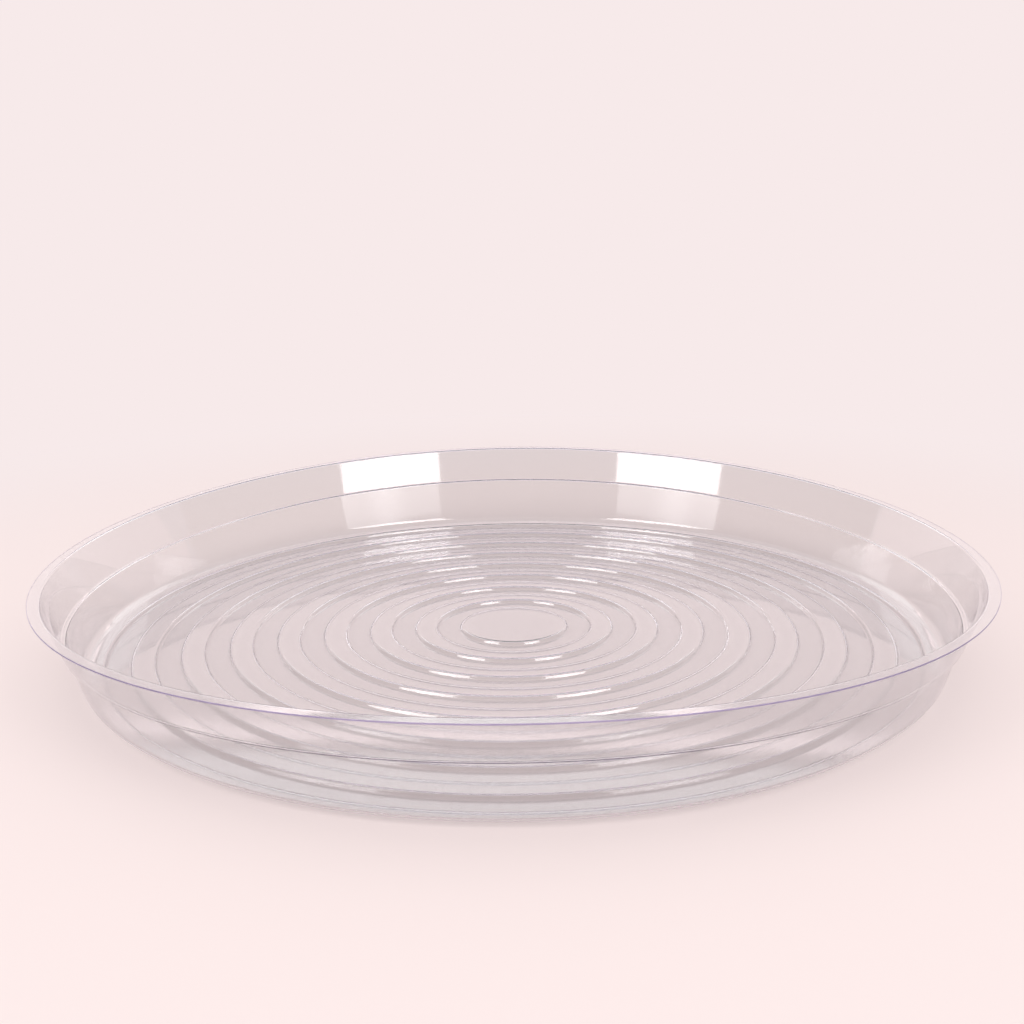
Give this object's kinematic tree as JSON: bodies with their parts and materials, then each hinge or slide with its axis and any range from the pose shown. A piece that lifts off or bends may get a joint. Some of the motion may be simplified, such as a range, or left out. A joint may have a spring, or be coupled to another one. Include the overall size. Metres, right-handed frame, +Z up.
{
  "type": "plant saucer",
  "caption": "Round clear plant saucer: a shallow flared dish with a narrow lip, a stacking shoulder and concentric floor ridges that hold a pot above drained water.",
  "frame": {"origin": "centre of the circle that the saucer stands on, at the underside of the floor grooves", "axes": "+Z up, along the saucer's axis of revolution, from the base to the lip"},
  "size_m": [0.432, 0.432, 0.046],
  "materials": {
    "clear_vinyl": "clear gloss"
  },
  "bodies": {
    "root": {"saucer": "clear_vinyl"}
  },
  "joints": []
}
